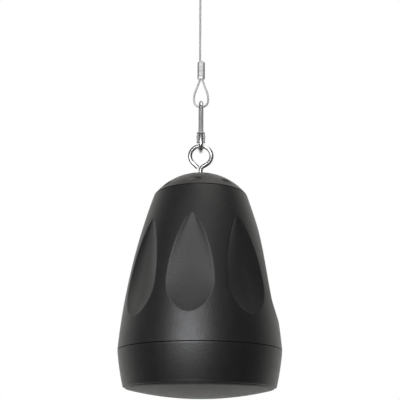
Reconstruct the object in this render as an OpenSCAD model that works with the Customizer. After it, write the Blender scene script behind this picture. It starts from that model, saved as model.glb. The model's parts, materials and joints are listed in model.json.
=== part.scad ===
// Pendant loudspeaker on a wire rope, hanging from its ceiling coupling.
// The origin is the centre of the coupling's upper face. +Z is up, +X is right, the front is -Y.

/* [Rope and ceiling fitting] */
// Length of the ceiling coupling
fitting_len = 28; // [24:1:40]
// Outer diameter of the ceiling coupling
fitting_d = 16; // [14:0.5:24]
// Diameter of the tapped hole for an M8 bolt
fitting_bore_d = 6.8; // [6:0.1:8]
// Depth of the tapped hole
fitting_bore_len = 14; // [10:1:15]
// Diameter of the wire rope
rope_d = 3.2; // [2.4:0.1:3.4]
// Clearance between the rope and the holes it passes through, on the radius
rope_clear = 0.12; // [0.08:0.01:0.2]
// Free rope between the coupling and the ferrule
rope_drop = 123.5; // [110:0.5:180]
// Length of the crimped ferrule
ferrule_len = 28.5; // [20:0.5:34]
// Width of the crimped ferrule
ferrule_w = 12; // [11:0.5:15]
// Thickness of the crimped ferrule
ferrule_t = 7.4; // [6:0.2:9]

/* [Snap hook] */
// Diameter of the hook's rod
hook_rod_d = 7.5; // [6:0.1:8]
// Overall length of the hook
hook_len = 85; // [80:1:96]
// Radius of the lower bow, to the middle of the rod
hook_low_r = 10; // [9:0.5:11]
// Radius of the upper bow, to the middle of the rod
hook_top_r = 15; // [13:0.5:18]
// Distance from the lower bow to the gate's rivet
gate_pivot_up = 8.2; // [8:0.1:10]
// Diameter of the gate's rod
gate_rod_d = 7.4; // [6:0.1:8]
// Width over the gate's two ears
gate_ears_w = 12.6; // [12:0.1:14]
// Length of the gate's ears
gate_ears_len = 15.7; // [14:0.1:17]
// Depth of the gate's ears, front to back
gate_ears_t = 8.4; // [8:0.1:10]
// Diameter of the gate's rivet
gate_rivet_d = 3.2; // [2.5:0.1:4]
// Clearance between moving steel parts
hook_clear = 0.3; // [0.2:0.05:0.4]
// Clearance round a pin that turns, on the radius
turn_clear = 0.08; // [0.05:0.01:0.1]

/* [Eye bolt] */
// Diameter of the eye bolt's rod
eye_rod_d = 7; // [6:0.1:8]
// Radius of the eye, to the middle of the rod
eye_r = 16.2; // [15:0.1:20]
// Angle at which the eye leaves its circle for the shank
eye_leave_angle = 60; // [55:1:65]
// Radius of the bend between the eye and the shank
eye_bend_r = 8; // [7:0.5:9]
// Angle past the left side at which the open end leaves the circle
eye_end_angle = 44; // [42:1:50]
// Length of the straight open end
eye_end_len = 10.4; // [6:0.2:10.4]
// Straight rod between the bend and the top of the cap
eye_shank_show = 7.8; // [6:0.1:14]

/* [Bell housing] */
// Radius of the bell at its lower seam
bell_low_r = 115; // [112:0.5:120]
// Radius of the bell at its upper seam
bell_top_r = 69.4; // [66:0.5:74]
// Height of the bell between its seams
bell_h = 225.4; // [215:1:250]
// How far the bell's flank stands out from a straight cone
bell_belly = 7.3; // [4:0.1:10]
// Wall of the bell
bell_wall = 3.6; // [3:0.1:5]
// Height of the visible gap at each seam
seam_gap = 0.9; // [0.5:0.1:1.5]
// Number of teardrop scoops
scoop_count = 8; // [6:1:9]
// Depth of a scoop
scoop_depth = 4.5; // [2:0.1:6]
// Half of a scoop's width, as an angle round the bell
scoop_half_angle = 17.8; // [12:0.1:19]
// Height of a scoop's lowest point
scoop_low_z = 38; // [30:1:45]
// Height at which a scoop is widest
scoop_wide_z = 84; // [75:1:95]
// Height of a scoop's pointed tip
scoop_tip_z = 179; // [165:1:185]
// Turn of the scoops round the bell
scoop_turn = -7.6; // [-22:0.1:22]

/* [Cap] */
// Rise of the cap's dome above the upper seam
cap_rise = 35.2; // [30:0.1:40]
// Wall of the cap
cap_wall = 3; // [2:0.1:4]
// Width of a pocket in the cap, along the rim
pocket_w = 21.5; // [14:0.5:23]
// Height of a pocket, up the dome
pocket_h = 16; // [9:0.5:17]
// Depth of a pocket
pocket_depth = 1.7; // [1:0.1:2.2]
// Distance from the cap's rim to the middle of a pocket, towards the axis
pocket_inset = 8.2; // [7:0.1:12]

/* [Neck and hanging plate] */
// Wall of the neck above the flange
neck_wall = 3.6; // [3:0.1:5]
// Thickness of the neck's flange
flange_t = 8; // [6:0.5:10]
// Depth of the cap's seat below the upper seam
cap_seat = 6.4; // [5:0.2:9]
// Width of the flange inside the neck
flange_w = 19.8; // [18:0.1:21]
// Thickness of the hanging plate
plate_t = 3; // [2.5:0.1:4]
// Distance from the neck's inner wall to the edge of the hanging plate
plate_inset = 5.8; // [5:0.1:8]
// Distance from the edge of the hanging plate to its screws
plate_screw_inset = 6.5; // [5:0.1:8]
// Number of plate screws
plate_screw_count = 6; // [4:1:8]
// Thickness of the seal under the cap
seal_t = 2; // [1:0.1:2.5]
// Width of the seal under the cap
seal_w = 5; // [3:0.1:8]

/* [Front ring and grille] */
// Height of the front ring
ring_h = 50.2; // [48:0.2:54]
// How much narrower the ring is at its rim than at the seam, on the radius
ring_taper = 8.9; // [4:0.1:10]
// How far the ring's flank stands out from a straight cone
ring_belly = 0.95; // [0:0.05:2]
// Wall of the ring at its rim
ring_wall = 1.9; // [1.7:0.1:3]
// Depth of the grille's seat above the rim
grille_seat = 7.2; // [6:0.1:9]
// Thickness of the ring's ledge
ledge_t = 5; // [4:0.1:6]
// Width of the ring's ledge
ledge_w = 10.2; // [9:0.1:12]
// Clearance round the grille's rim
grille_clear = 0.7; // [0.4:0.1:1.2]
// How far the grille's dome bulges below its rim
grille_bulge = 15; // [8:0.5:20]
// Thickness of the grille
grille_t = 1; // [0.8:0.1:1.5]
// Pitch of the grille's holes
grille_pitch = 14; // [13:0.5:20]
// Diameter of the grille's holes
grille_hole_d = 8.5; // [4:0.5:9]
// Thickness of the cloth behind the grille
cloth_t = 0.8; // [0.5:0.1:1.2]

/* [Baffle and its parts] */
// Thickness of the baffle
baffle_t = 12; // [9:0.5:13]
// Clearance round the baffle
baffle_clear = 0.4; // [0.2:0.1:0.8]
// Thickness of the gaskets
gasket_t = 1; // [0.8:0.1:1.5]
// Number of baffle screws
baffle_screw_count = 6; // [6:6:6]
// Distance from the ring's inner wall to the baffle screws
baffle_screw_inset = 5.7; // [5.6:0.1:6.2]
// Diameter of the machine screws
screw_d = 4; // [3:0.1:4.2]
// Radius of the port tube's bore
port_r = 10.5; // [8:0.1:12]
// Width of the lip round the port's mouth
port_lip = 2.6; // [2:0.1:4]
// Clearance between the port's lip and the rings beside it
port_clear = 0.4; // [0.3:0.1:1]
// Length of the port tube
port_len = 78; // [50:1:100]
// Radius of the tap dial
dial_r = 8; // [6:0.1:9]

/* [Driver] */
// Width of the driver's rim, outside the opening in the baffle
driver_rim = 8.5; // [7:0.1:10]
// Distance from the edge of the driver's rim to its screws
driver_screw_inset = 4; // [3.5:0.1:5]
// Number of driver screws
driver_screw_count = 4; // [4:1:8]
// Radius of the driver magnet
magnet_r = 42; // [36:0.5:46]
// Thickness of the driver magnet
magnet_t = 15; // [10:0.5:20]
// Radius of the voice coil
coil_r = 12.7; // [12:0.1:13]
// Width of the surround's roll
surround_w = 7.5; // [6:0.1:9]
// Travel of the cone each way
cone_travel = 3; // [1:0.5:3]
// Radius of the tweeter's body
tweeter_r = 16; // [12:0.5:18]

/* [Transformer] */
// Width of the transformer's core
core_w = 56; // [48:1:60]
// Height of the transformer's core
core_h = 44; // [36:1:50]
// Depth of the transformer's stack
core_t = 24; // [18:1:30]

/* [Hidden] */
$fn = 96;
eps = 0.01;

// Rope, ferrule and hanging line
rope_r = rope_d / 2;
leg_offset = rope_r + rope_clear + 0.13;
axis_x = leg_offset;
rope_grip = 12;
ferrule_top_z = -fitting_len - rope_drop;
ferrule_low_z = ferrule_top_z - ferrule_len;
tail_stub = 2.5;

// Half width of the rope's eye and drop below the ferrule, from the ferrule down to the lowest point
eye_route = [
    [2.4, 3], [4, 8], [6, 14], [8.2, 20], [10, 26], [10.9, 32],
    [10.9, 36], [10, 41], [8, 44.4], [5.4, 46.4], [2.8, 47.5], [0, 47.8]
];
rope_eye_drop = eye_route[len(eye_route) - 1][1];
rope_low_z = ferrule_low_z - rope_eye_drop;

// Snap hook, in its own plane: x runs to the back, y runs up
hook_rod_r = hook_rod_d / 2;
hook_top_z = rope_low_z + rope_r + hook_clear + hook_rod_d;
hook_low_z = hook_top_z - hook_len;
bow_gap = hook_len - hook_rod_d - hook_low_r - hook_top_r;
hook_lean = asin((hook_top_r - hook_low_r) / bow_gap);
leg_len = bow_gap * cos(hook_lean);
low_bow_y = hook_low_z + hook_rod_r + hook_low_r;
top_bow_y = low_bow_y + bow_gap;
stub_len = gate_pivot_up + 4;
ear_slot_w = hook_rod_d + 2 * hook_clear;
ear_slot_top = 6.2;
ear_low = -gate_ears_len / 2;
nose_tongue_w = 2.4;
nose_tongue_t = 5;
nose_tongue_len = 4.6;
nose_slot_len = 6;
cross_pin_r = 1.1;
cross_pin_len = 6.6;
cross_pin_up = 3;
rivet_head_r = 3;
rivet_head_t = 0.6;

// Eye bolt, measured from the centre of its eye
eye_rod_r = eye_rod_d / 2;
eye_z = hook_low_z + hook_rod_d + hook_clear + eye_rod_d - eye_r - eye_rod_r;
eye_straight = (eye_r * cos(eye_leave_angle) - eye_bend_r * (1 - cos(eye_leave_angle))) / sin(eye_leave_angle);
shank_top = -eye_r * sin(eye_leave_angle) - eye_straight * cos(eye_leave_angle)
    - eye_bend_r * sin(eye_leave_angle);

// Heights in the speaker, measured from its lower seam
cap_dome_r = (bell_top_r * bell_top_r + cap_rise * cap_rise) / (2 * cap_rise);
cap_top = bell_h + cap_rise;
cap_dome_z = cap_top - cap_dome_r;
seam_z = eye_z + shank_top - eye_shank_show - cap_top;
flange_top = bell_h - cap_seat;
flange_low = flange_top - flange_t;
plate_low = flange_low - plate_t;
ring_low = -ring_h;
ledge_low = ring_low + grille_seat;
ledge_top = ledge_low + ledge_t;
baffle_low = ledge_top + gasket_t;
baffle_top = baffle_low + baffle_t;

// Radii round the cap and the neck
neck_inner_r = bell_top_r - neck_wall;
flange_hole_r = neck_inner_r - flange_w;
plate_r = neck_inner_r - plate_inset;
plate_screw_circle_r = plate_r - plate_screw_inset;
pocket_r = bell_top_r - pocket_inset;

// Radii of the ring and of what it carries
tongue_inset = 1.1;
tongue_t = 3.6;
tongue_outer_r = bell_low_r - bell_wall - tongue_inset;
ring_low_r = bell_low_r - ring_taper;
ring_inner_r = ring_low_r - ring_wall;
ledge_r = ring_inner_r - ledge_w;
grille_r = ring_inner_r - grille_clear;
baffle_r = ring_inner_r - baffle_clear;
baffle_screw_circle_r = ring_inner_r - baffle_screw_inset;
frame_r = ledge_r - 2 * (port_r + port_lip + port_clear);
port_offset = (ledge_r + frame_r) / 2;
cutout_r = frame_r - driver_rim;
driver_screw_circle_r = frame_r - driver_screw_inset;
tongue_top = 6;
rebate_top = 8;
post_top = 12;
post_r = 5;
post_lap = 1;

// Hardware sizes
washer_t = 1.6;
washer_r = 9;
nut_t = 6;
nut_r = 7.5;
shank_low = plate_low - washer_t - nut_t - 4;
screw_r = screw_d / 2;
screw_head_r = 3.7;
screw_head_t = 2.6;
hole_clear = 0.2;
fit_clear = 0.3;
dial_shaft_r = 3;

// Driver heights
frame_t = 3;
frame_top = baffle_low - gasket_t;
frame_low = frame_top - frame_t;
basket_top = 6;
shelf_z = -7;
shelf_t = 2;
top_plate_t = 5;
back_plate_t = 5;
magnet_z = basket_top + top_plate_t;
back_plate_z = magnet_z + magnet_t;
gap_r = coil_r + 0.9;
pole_r = coil_r - 1.1;
surround_rim = 3;
cone_r = cutout_r - surround_rim - surround_w - 1;
cone_low = frame_low;
cone_high = -11;
spider_r = cutout_r - 16;
tweeter_low = -46;
tweeter_h = 13;
tweeter_post_r = 4;

// Transformer heights
frame_strap = 1.5;
core_top = shank_low - 3;
core_low = core_top - core_h;
transformer_screw_x = core_w / 2 + 12;
coil_window = core_w / 6;

function pair(a, b, t) = a + (b - a) * t;
// Radius of a round cutter that leaves a pocket of this width in the dome
function cutter_radius(width) = 1 / (8 * pocket_depth / (width * width) - 1 / cap_dome_r);
pocket_cut_r = cutter_radius(pocket_h);
pocket_arc_r = cutter_radius(pocket_w);
function bow(t) = 4 * t * (1 - t);

// Radius of the bell and of the ring, as a straight cone and a shallow parabola
function bell_r(z) = pair(bell_low_r, bell_top_r, z / bell_h) + bell_belly * bow(z / bell_h);
function ring_r(z) = pair(bell_low_r, ring_low_r, -z / ring_h) + ring_belly * bow(-z / ring_h);

// Half angle of a scoop at a height: a pointed arch above its widest place, half an ellipse below
function scoop_up(t) = t >= 1 ? 0 : pow(1 - t * t, 0.8);
function scoop_down(t) = t >= 1 ? 0 : sqrt(1 - t * t);
function scoop_angle(z) = scoop_half_angle * (z >= scoop_wide_z
    ? scoop_up((z - scoop_wide_z) / (scoop_tip_z - scoop_wide_z))
    : scoop_down((scoop_wide_z - z) / (scoop_wide_z - scoop_low_z)));
function scoop_cut(z, share) = abs(share) >= 1 ? 0
    : scoop_depth * pow(scoop_angle(z) / scoop_half_angle, 1.17) * (1 - share * share);

// Grid round one scoop: eight columns across it and four between it and the next
scoop_pitch = 360 / scoop_count;
across = 8;
between = 4;
columns = across + between;
plain_half = scoop_pitch * across / columns / 2;
least_half = 5;
function settle(d) = d >= 1 ? 1 : d * d * (3 - 2 * d);
function grid_half(z) = max(scoop_angle(z), least_half
    + (plain_half - least_half) * settle(max(z - scoop_tip_z, scoop_low_z - z, 0) / 30));
function column_angle(z, c) = c <= across ? grid_half(z) * (2 * c / across - 1)
    : grid_half(z) + (c - across) * (scoop_pitch - 2 * grid_half(z)) / between;
function column_share(z, c) = scoop_angle(z) <= 0 || c > across ? 1 : column_angle(z, c) / scoop_angle(z);

// Rows of the bell's outside, closer together where a scoop starts and ends
plain_rows_low = [seam_gap / 2, 12, 24, scoop_low_z - 3];
scoop_rows_low = [for (k = [0 : 8]) scoop_wide_z - (scoop_wide_z - scoop_low_z) * cos(90 * k / 8 )];
scoop_rows_up = [for (k = [1 : 15]) scoop_wide_z + (scoop_tip_z - scoop_wide_z) * sin(90 * k / 15)];
plain_rows_up = [for (k = [1 : 5]) pair(scoop_tip_z, bell_h - seam_gap / 2, k / 5)];
outer_rows = concat(plain_rows_low, scoop_rows_low, scoop_rows_up, plain_rows_up);
inner_wall = bell_wall + scoop_depth;
inner_rows = [for (k = [0 : 5]) pair(flange_low, rebate_top, k / 5)];
// Closed section of the plain part: [radius, height]
inner_section = concat(
    [[neck_inner_r, bell_h - seam_gap / 2], [neck_inner_r, flange_top],
     [flange_hole_r, flange_top], [flange_hole_r, flange_low]],
    [for (z = inner_rows) [bell_r(z) - inner_wall, z]],
    [[tongue_outer_r + fit_clear, rebate_top], [tongue_outer_r + fit_clear, seam_gap / 2]]
);

module at_seam() {
    translate([axis_x, 0, seam_z]) children();
}

module copies(count, radius, turn = 0) {
    for (k = [0 : count - 1]) rotate([0, 0, turn + 360 * k / count]) translate([radius, 0, 0]) children();
}

module tube(outer_r, inner_r, low, high) {
    difference() {
        translate([0, 0, low]) cylinder(r = outer_r, h = high - low);
        translate([0, 0, low - 1]) cylinder(r = inner_r, h = high - low + 2);
    }
}

module disc(r, low, high) {
    translate([0, 0, low]) cylinder(r = r, h = high - low);
}

module pan_screw(head_low, shank_len) {
    disc(screw_head_r, head_low, head_low + screw_head_t, $fn = 32);
    disc(screw_r, head_low + screw_head_t - eps, head_low + screw_head_t + shank_len, $fn = 32);
}

// A surface closed on itself both ways: rows of points, one row for each place along its section
module closed_skin(rows) {
    count = len(rows);
    wide = len(rows[0]);
    points = [for (row = rows) each row];
    faces = [for (i = [0 : count - 1], j = [0 : wide - 1])
        let (a = i * wide + j, b = i * wide + (j + 1) % wide,
            c = ((i + 1) % count) * wide + j, d = ((i + 1) % count) * wide + (j + 1) % wide)
        each [[a, c, b], [b, c, d]]];
    polyhedron(points = points, faces = faces, convexity = 8);
}

// A rope: eight-sided rings on a flat route of [x, z] points, with closed ends
function unit(v) = v / norm(v);
function route_way(route, k) = unit(route[min(k + 1, len(route) - 1)] - route[max(k - 1, 0)]);
module rope_tube(route, radius) {
    sides = 8;
    rings = [for (k = [0 : len(route) - 1])
        let (way = route_way(route, k), side = [way[1], -way[0]])
        for (j = [0 : sides - 1])
            let (turn = 360 * (j + 0.5) / sides, out = radius * cos(turn))
            [route[k][0] + side[0] * out, radius * sin(turn), route[k][1] + side[1] * out]];
    last = (len(route) - 1) * sides;
    walls = [for (k = [0 : len(route) - 2], j = [0 : sides - 1])
        let (a = k * sides + j, b = k * sides + (j + 1) % sides)
        each [[a, b, a + sides], [b, b + sides, a + sides]]];
    polyhedron(points = rings, faces = concat(
        [[for (j = [sides - 1 : -1 : 0]) j]], walls, [[for (j = [0 : sides - 1]) last + j]]));
}

module ceiling_fitting() color("silver") {
    neck_r = rope_r + 2.6;
    difference() {
        union() {
            disc(fitting_d / 2, -fitting_len * 0.6, 0);
            translate([0, 0, -fitting_len])
                cylinder(r1 = neck_r, r2 = fitting_d / 2, h = fitting_len * 0.4);
        }
        disc(fitting_bore_d / 2, -fitting_bore_len, 1);
        disc(rope_r + rope_clear, -fitting_len - 1, -fitting_len + rope_grip);
    }
}

module suspension_rope() color("gainsboro") {
    straight_rings = 15;
    top = -fitting_len + rope_grip - 0.5;
    down = [for (k = [0 : straight_rings]) [0, pair(top, ferrule_low_z, k / straight_rings)]];
    left = [for (p = eye_route) [axis_x - p[0], ferrule_low_z - p[1]]];
    right = [for (k = [len(eye_route) - 2 : -1 : 0])
        [axis_x + eye_route[k][0], ferrule_low_z - eye_route[k][1]]];
    up = [for (k = [0 : 4]) [2 * axis_x, pair(ferrule_low_z, ferrule_top_z + tail_stub, k / 4)]];
    rope_tube(concat(down, left, right, up), rope_r);
}

module rope_ferrule() color("silver") {
    end_r = ferrule_t / 2;
    reach = ferrule_w / 2 - end_r;
    outline = [for (k = [0 : 31])
        let (a = 360 * (k + 0.5) / 32) [axis_x + (cos(a) > 0 ? reach : -reach) + end_r * cos(a), end_r * sin(a)]];
    difference() {
        translate([0, 0, ferrule_low_z]) linear_extrude(height = ferrule_len) polygon(outline);
        for (x = [axis_x - leg_offset, axis_x + leg_offset])
            translate([x, 0, 0]) disc(rope_r + rope_clear, ferrule_low_z - 1, ferrule_top_z + 1, $fn = 32);
    }
}

// The hook's plane stood up: x runs to the back, y up, z to the right
module hook_plane() {
    translate([axis_x, 0, 0]) rotate([90, 0, 90]) children();
}

// Along the gate's leg: y runs up from the lower bow, z stays across the hook
module gate_leg() {
    translate([-hook_low_r * cos(hook_lean), low_bow_y - hook_low_r * sin(hook_lean), 0])
        rotate([0, 0, hook_lean]) children();
}

module rod(r, from, to) {
    translate([0, from, 0]) rotate([-90, 0, 0]) cylinder(r = r, h = to - from, $fn = 48);
}

// A straight length between bends: a hair thicker than they are and let into them, so that they join cleanly
module straight(r, from, to) {
    rod(r + 0.02, from - 0.3, to + 0.3);
}

module bend(bend_r, rod_r, from, to) {
    rotate([0, 0, from]) rotate_extrude(angle = to - from, $fn = 96) translate([bend_r, 0]) circle(r = rod_r, $fn = 48);
}

module snap_hook() color("silver") hook_plane() {
    difference() {
        union() {
            translate([0, low_bow_y, 0]) bend(hook_low_r, hook_rod_r, 180 + hook_lean, 360 - hook_lean);
            translate([0, top_bow_y, 0]) bend(hook_top_r, hook_rod_r, -hook_lean, 180 + hook_lean);
            translate([hook_low_r * cos(hook_lean), low_bow_y - hook_low_r * sin(hook_lean), 0])
                rotate([0, 0, -hook_lean]) straight(hook_rod_r, 0, leg_len);
            gate_leg() straight(hook_rod_r, 0, stub_len);
        }
        gate_leg() translate([0, gate_pivot_up, -hook_rod_d]) cylinder(r = gate_rivet_d / 2, h = 2 * hook_rod_d, $fn = 32);
        gate_leg() translate([-hook_rod_d, leg_len - 1, -nose_tongue_w / 2 - hook_clear])
            cube([2 * hook_rod_d, nose_slot_len + 1, nose_tongue_w + 2 * hook_clear]);
        gate_leg() translate([0, leg_len + cross_pin_up, -hook_rod_d]) {
            cylinder(r = cross_pin_r + hook_clear, h = 2 * hook_rod_d, $fn = 32);
            translate([0, -cross_pin_r - hook_clear, 0])
                cube([hook_rod_d, 2 * (cross_pin_r + hook_clear), 2 * hook_rod_d]);
        }
    }
}

module gate_rivet() color("gray") hook_plane() gate_leg() translate([0, gate_pivot_up, 0]) {
    half = gate_ears_w / 2;
    translate([0, 0, -half - rivet_head_t]) cylinder(r = gate_rivet_d / 2, h = 2 * (half + rivet_head_t), $fn = 32);
    for (side = [0, 1]) mirror([0, 0, side]) translate([0, 0, half + eps]) cylinder(r = rivet_head_r, h = rivet_head_t, $fn = 32);
}

module hook_gate() color("darkgray") hook_plane() gate_leg() translate([0, gate_pivot_up, 0]) {
    tip = leg_len - gate_pivot_up - hook_clear;
    top = gate_ears_len / 2;
    difference() {
        union() {
            translate([-gate_ears_t / 2, ear_low, -gate_ears_w / 2]) cube([gate_ears_t, gate_ears_len, gate_ears_w]);
            rod(gate_rod_d / 2, top - eps, tip);
            translate([-nose_tongue_t / 2, tip - 1, -nose_tongue_w / 2])
                cube([nose_tongue_t, nose_tongue_len + 1, nose_tongue_w]);
            translate([0, tip + hook_clear + cross_pin_up, -cross_pin_len / 2])
                cylinder(r = cross_pin_r, h = cross_pin_len, $fn = 32);
        }
        translate([-gate_ears_t, ear_low - 1, -ear_slot_w / 2])
            cube([2 * gate_ears_t, ear_slot_top - ear_low + 1, ear_slot_w]);
        translate([0, 0, -gate_ears_w]) cylinder(r = gate_rivet_d / 2 + turn_clear, h = 2 * gate_ears_w, $fn = 32);
    }
}

// The eye faces the front: x runs to the right, y up in the eye's own plane
module eye_bolt() color("silver") translate([axis_x, 0, eye_z]) rotate([90, 0, 0]) {
    bend(eye_r, eye_rod_r, -eye_leave_angle, 180 + eye_end_angle);
    rotate([0, 0, 180 + eye_end_angle]) translate([eye_r, 0, 0]) straight(eye_rod_r, 0, eye_end_len);
    rotate([0, 0, -eye_leave_angle]) translate([eye_r, 0, 0]) straight(eye_rod_r, -eye_straight, 0);
    translate([eye_bend_r, shank_top, 0]) bend(eye_bend_r, eye_rod_r, 180 - eye_leave_angle, 180);
    straight(eye_rod_r, seam_z + shank_low - eye_z, shank_top);
}

module eye_bolt_nuts() color("silver") at_seam() {
    for (low = [flange_low + washer_t, plate_low - washer_t - nut_t]) difference() {
        translate([0, 0, low]) cylinder(r = nut_r, h = nut_t, $fn = 6);
        disc(eye_rod_r + 0.05, low - 1, low + nut_t + 1);
    }
}

module eye_bolt_washers() color("gainsboro") at_seam() {
    for (low = [flange_low, plate_low - washer_t]) tube(washer_r, eye_rod_r + hole_clear, low, low + washer_t);
}

// A round-bellied cutter that lies along the pocket
module pocket_cutter() {
    half = pocket_w / 2 + 1.5;
    outline = [for (k = [0 : 12]) let (y = pair(-half, half, k / 12))
        [pocket_cut_r - pocket_arc_r + sqrt(pocket_arc_r * pocket_arc_r - y * y), y]];
    rotate([90, 0, 0]) rotate_extrude($fn = 96) polygon(concat([[0, -half]], outline, [[0, half]]));
}

module dome_cut(r, low) {
    intersection() {
        translate([0, 0, cap_dome_z]) sphere(r = r, $fn = 180);
        disc(cap_dome_r, low, cap_dome_z + cap_dome_r + 1);
    }
}

module top_cap() color("dimgray") at_seam() {
    edge = bell_h + seam_gap / 2;
    skirt_r = neck_inner_r - fit_clear;
    reach = cap_dome_r + pocket_cut_r - pocket_depth;
    lean = asin(pocket_r / cap_dome_r);
    difference() {
        union() {
            dome_cut(cap_dome_r, edge);
            disc(skirt_r, flange_top + seal_t, edge + eps);
        }
        intersection() {
            dome_cut(cap_dome_r - cap_wall, flange_top);
            disc(skirt_r - cap_wall, flange_top, cap_top);
        }
        disc(eye_rod_r + hole_clear, cap_top - 3 * cap_wall, cap_top + 1);
        for (k = [0 : scoop_count - 1]) rotate([0, 0, scoop_turn - 90 + scoop_pitch * k])
            translate([0, 0, cap_dome_z]) rotate([0, lean, 0]) translate([0, 0, reach]) pocket_cutter();
    }
}

module cap_seal() color("black") at_seam() {
    tube(neck_inner_r - fit_clear, neck_inner_r - fit_clear - seal_w, flange_top, flange_top + seal_t);
}

module housing() color("dimgray") at_seam() {
    outer = [for (z = outer_rows) [for (k = [0 : scoop_count - 1], c = [0 : columns - 1])
        let (a = scoop_turn - 90 + scoop_pitch * k + column_angle(z, c),
            r = bell_r(z) - scoop_cut(z, column_share(z, c)))
        [r * cos(a), r * sin(a), z]]];
    inner = [for (p = inner_section) [for (k = [0 : scoop_count - 1], c = [0 : columns - 1])
        let (a = scoop_turn - 90 + scoop_pitch * (k + (c - across / 2) / columns))
        [p[0] * cos(a), p[0] * sin(a), p[1]]]];
    closed_skin(concat(outer, inner));
}

plate_screw_turn = 180 / plate_screw_count;
module hanging_plate() color("lightgray") at_seam() {
    difference() {
        tube(plate_r, eye_rod_r + hole_clear, plate_low, flange_low);
        copies(plate_screw_count, plate_screw_circle_r, plate_screw_turn)
            disc(screw_r + hole_clear, plate_low - 1, flange_low + 1, $fn = 32);
        copies(2, transformer_screw_x) disc(screw_r + hole_clear, plate_low - 1, flange_low + 1, $fn = 32);
    }
}

module plate_screws() color("silver") at_seam() {
    copies(plate_screw_count, plate_screw_circle_r, plate_screw_turn)
        pan_screw(plate_low - screw_head_t, plate_t + flange_t - 2);
}

block_w = 40;
block_t = 15;
block_h = 17;
block_y = (flange_hole_r + washer_r) / 2 - 2.5;
block_ways = 4;
module terminal_block() color("darkgreen") at_seam() translate([0, block_y, flange_low]) {
    pitch = block_w / block_ways;
    difference() {
        translate([-block_w / 2, -block_t / 2, 0]) cube([block_w, block_t, block_h]);
        for (k = [0 : block_ways - 1]) translate([(k + 0.5) * pitch - block_w / 2, 0, 0]) {
            translate([-3, -block_t / 2 - 1, 3]) cube([6, block_t / 2, 6]);
            disc(3.2, block_h - 3, block_h + 1, $fn = 32);
        }
    }
}

module terminal_screws() color("silver") at_seam() translate([0, block_y, flange_low]) {
    pitch = block_w / block_ways;
    for (k = [0 : block_ways - 1]) translate([(k + 0.5) * pitch - block_w / 2, 0, 0]) difference() {
        disc(3, block_h - 3, block_h - 1, $fn = 32);
        translate([-4, -0.4, block_h - 2]) cube([8, 0.8, 2]);
    }
}

module transformer_frame() color("lightgray") at_seam() {
    inner = core_w / 2 + 0.1;
    foot = transformer_screw_x + 6;
    profile = [
        [-foot, plate_low], [-foot, plate_low - frame_strap], [-inner - frame_strap, plate_low - frame_strap],
        [-inner - frame_strap, core_low - frame_strap], [inner + frame_strap, core_low - frame_strap],
        [inner + frame_strap, plate_low - frame_strap], [foot, plate_low - frame_strap], [foot, plate_low],
        [inner, plate_low], [inner, core_low], [-inner, core_low], [-inner, plate_low]
    ];
    difference() {
        translate([0, core_t / 2, 0]) rotate([90, 0, 0]) linear_extrude(height = core_t) polygon(profile);
        copies(2, transformer_screw_x) disc(screw_r + hole_clear, plate_low - 5, plate_low + 1, $fn = 32);
    }
}

module transformer_core() color("slategray") at_seam() difference() {
    translate([-core_w / 2, -core_t / 2, core_low]) cube([core_w, core_t, core_h]);
    for (x = [-2 * coil_window, coil_window])
        translate([x, -core_t, core_low + coil_window]) cube([coil_window, 2 * core_t, core_h - 2 * coil_window]);
}

module transformer_winding() color("peru") at_seam() difference() {
    gap = 0.2;
    half = 2 * coil_window - gap;
    side = core_t / 2 + coil_window - gap;
    tall = core_h - 2 * coil_window - 2 * gap;
    translate([-half, -side, core_low + coil_window + gap]) cube([2 * half, 2 * side, tall]);
    translate([-coil_window - gap, -core_t / 2 - gap, core_low])
        cube([2 * (coil_window + gap), core_t + 2 * gap, core_h]);
}

module transformer_screws() color("silver") at_seam() {
    copies(2, transformer_screw_x) pan_screw(plate_low - frame_strap - screw_head_t, frame_strap + plate_t);
}

module mounting_ring() color("dimgray") at_seam() {
    outer = bell_r(post_top) - inner_wall - fit_clear;
    inner = baffle_screw_circle_r - post_lap;
    section = [
        [inner, tongue_top], [tongue_outer_r, tongue_top], [tongue_outer_r, rebate_top],
        [outer, rebate_top], [outer, post_top], [inner, post_top]
    ];
    difference() {
        union() {
            rotate_extrude() polygon(section);
            copies(baffle_screw_count, baffle_screw_circle_r, 30) disc(post_r, baffle_top, post_top + 1, $fn = 32);
        }
        copies(baffle_screw_count, baffle_screw_circle_r, 30) disc(screw_r, baffle_top - 1, post_top - 1, $fn = 32);
    }
}

module front_ring() color("dimgray") at_seam() {
    steps = 8;
    outside = [for (k = [0 : steps]) let (z = pair(ring_low, -seam_gap / 2, k / steps)) [ring_r(z), z]];
    section = concat(outside, [
        [tongue_outer_r, -seam_gap / 2], [tongue_outer_r, tongue_top], [tongue_outer_r - tongue_t, tongue_top],
        [tongue_outer_r - tongue_t, -seam_gap / 2 - 2], [ring_inner_r, -seam_gap / 2 - 4], [ring_inner_r, ledge_top],
        [ledge_r, ledge_top], [ledge_r, ledge_low], [ring_inner_r, ledge_low], [ring_inner_r, ring_low]
    ]);
    difference() {
        rotate_extrude() polygon(section);
        copies(baffle_screw_count, baffle_screw_circle_r, 30)
            disc(screw_r + hole_clear, ledge_low - 1, ledge_top + 1, $fn = 32);
    }
}

grille_rim = ring_low - 0.8;
function dome_ball(bulge) = (grille_r * grille_r + bulge * bulge) / (2 * bulge);
module dome_shell(outside_by, thick, rim_r) {
    ball = dome_ball(grille_bulge);
    difference() {
        intersection() {
            translate([0, 0, grille_rim - grille_bulge + ball]) difference() {
                sphere(r = ball - outside_by, $fn = 360);
                sphere(r = ball - outside_by - thick, $fn = 360);
            }
            disc(rim_r, grille_rim - 2 * grille_bulge, grille_rim + 10);
        }
    }
}

// Hole places: a hexagonal grid inside the given radius
function hex_grid(pitch, reach) = [for (j = [-20 : 20], i = [-20 : 20])
    let (x = pitch * (i + (j % 2 == 0 ? 0 : 0.5)), y = pitch * j * sin(60)) if (norm([x, y]) < reach) [x, y]];

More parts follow.
